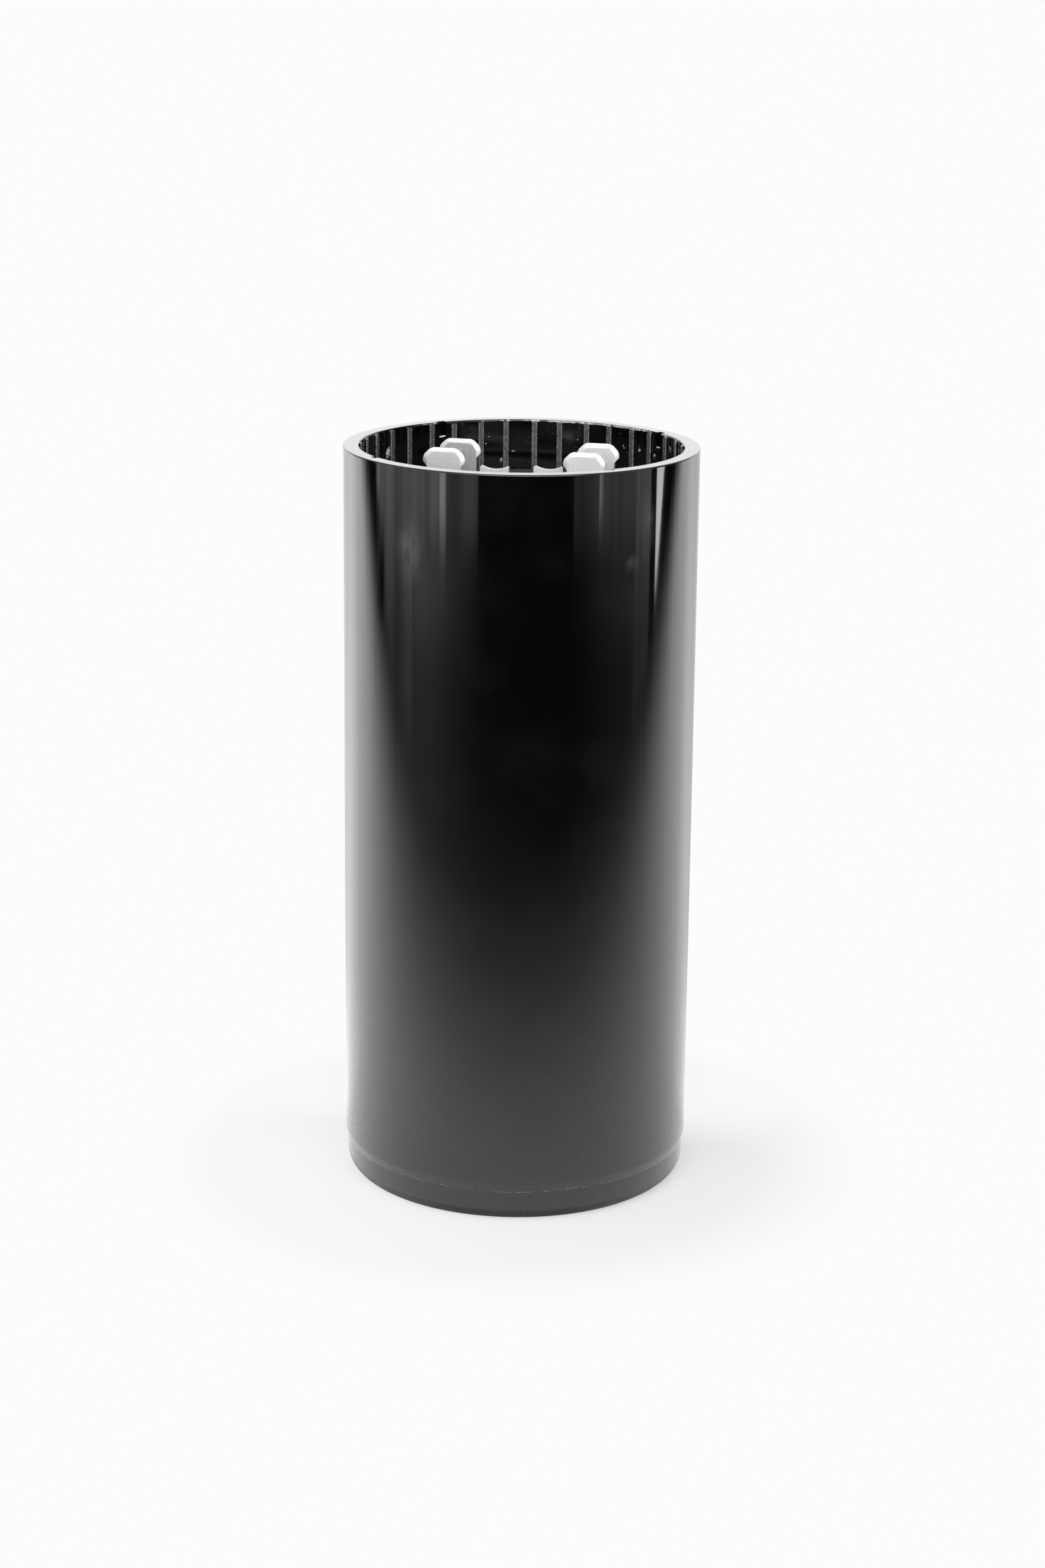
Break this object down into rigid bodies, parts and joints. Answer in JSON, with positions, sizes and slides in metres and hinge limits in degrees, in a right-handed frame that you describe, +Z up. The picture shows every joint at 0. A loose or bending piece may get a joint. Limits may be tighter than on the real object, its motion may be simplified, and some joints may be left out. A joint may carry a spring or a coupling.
{
  "type": "motor start capacitor",
  "caption": "Upright cylindrical motor start capacitor: black moulded cup with a ribbed, keyed rim around a recessed header that carries stamped push-on blade terminals.",
  "frame": {"origin": "centre of the base, on the surface that the case stands on", "axes": "+Z up the case axis towards the terminals, X along the row of terminals, -Y the front"},
  "size_m": [0.0524, 0.0524, 0.112],
  "materials": {
    "case": "black phenolic moulding, glossy with a faint satin haze",
    "header": "dark paper-phenolic laminate",
    "rubber": "plain moulded rubber",
    "terminal": "tinned, stamped, finely scratched",
    "aluminium": "bare, dull",
    "paper": "oiled kraft paper and foil edges",
    "tape": "paper tape",
    "compound": "poured pitch"
  },
  "bodies": {
    "root": {"case": "case", "header": "header", "gasket": "rubber", "vent_plug": "rubber", "terminal_left": "terminal", "terminal_right": "terminal", "rivet_left": "aluminium", "rivet_right": "aluminium", "washer_left": "aluminium", "washer_right": "aluminium", "lead_tab_left": "aluminium", "lead_tab_right": "aluminium", "winding": "paper", "winding_tape": "tape", "anchor_compound": "compound"}
  },
  "joints": []
}
